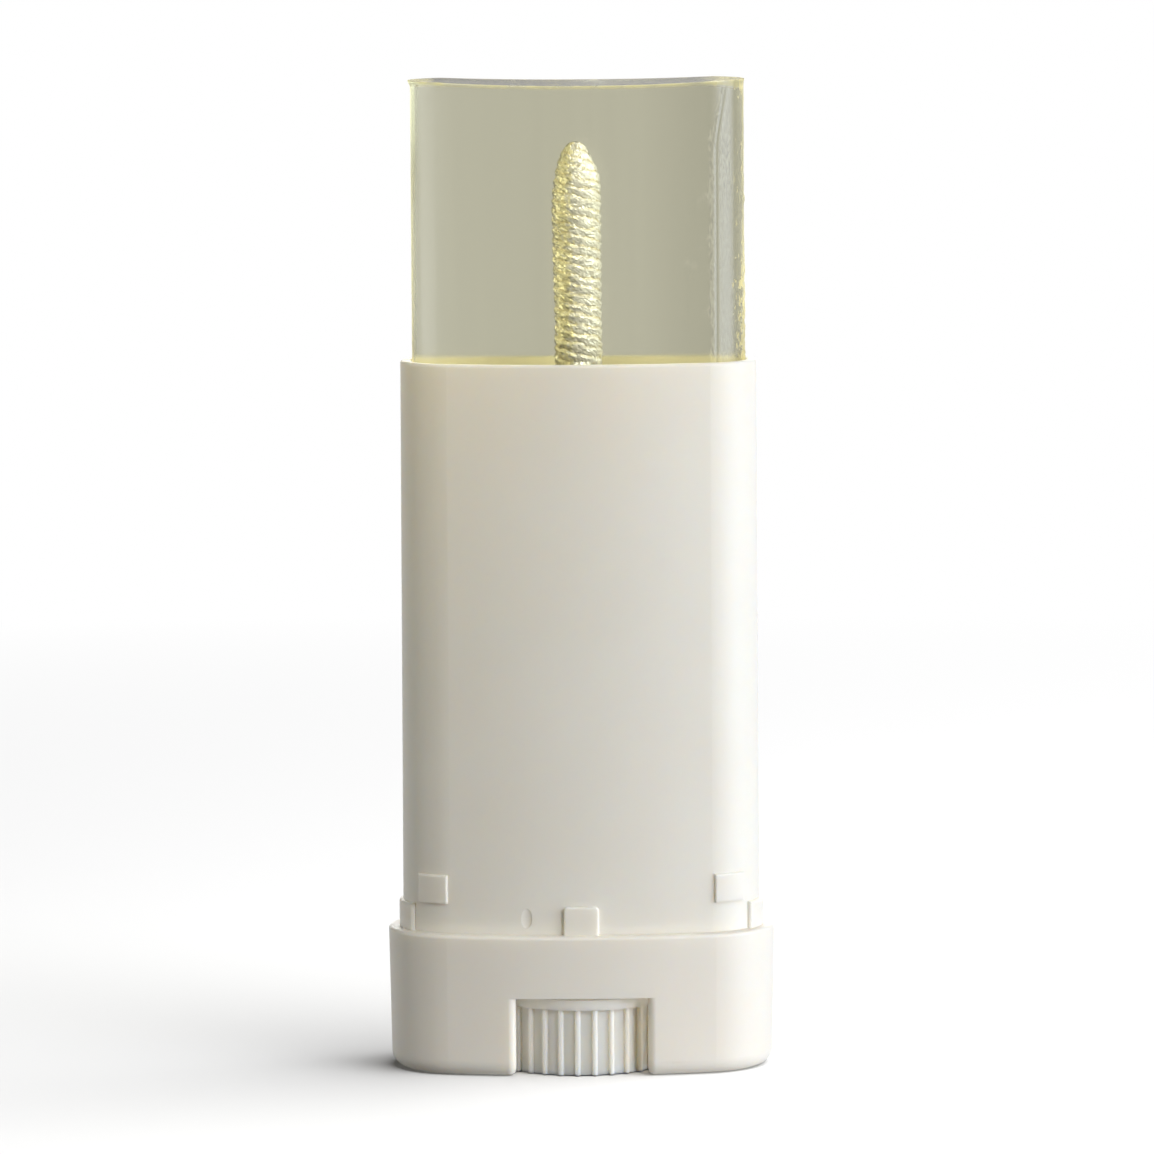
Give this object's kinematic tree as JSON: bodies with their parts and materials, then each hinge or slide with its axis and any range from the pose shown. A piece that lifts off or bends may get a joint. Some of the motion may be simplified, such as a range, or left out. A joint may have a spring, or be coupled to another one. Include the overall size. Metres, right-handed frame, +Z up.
{
  "type": "oval twist-up sunscreen stick",
  "caption": "Oval twist-up stick: white barrel with a thumbwheel in its base, and a clear gel block wound part-way out, without its cap.",
  "frame": {"origin": "on the surface that the stick stands on, below the spindle's axis", "axes": "+Z up along the spindle, +X along the oval's long side, +Y to the back; -Y is the front"},
  "size_m": [0.041, 0.0192, 0.1048],
  "materials": {
    "white_shell": "satin moulded polypropylene",
    "white_wheel": "satin moulded polypropylene",
    "white_carrier": "satin moulded polypropylene",
    "clear_gel": "clear pale yellow gel, firm"
  },
  "bodies": {
    "barrel": {"barrel": "white_shell"},
    "wheel_spindle": {"wheel_spindle": "white_wheel"},
    "carrier": {"carrier": "white_carrier", "gel": "clear_gel"}
  },
  "joints": [
    {"name": "wheel_spin", "type": "hinge", "parent": "barrel", "child": "wheel_spindle", "pos_m": [0, 0, 0.005], "axis": [0, 0, 1], "range_deg": [-3430, 2210]},
    {"name": "carrier_slide", "type": "slide", "parent": "barrel", "child": "carrier", "axis": [0, 0, 1], "range_m": [-0.0295, 0.019]}
  ],
  "couplings": [
    {"joint": "wheel_spin", "follows": "carrier_slide", "rad_per_m": 2026.8}
  ]
}
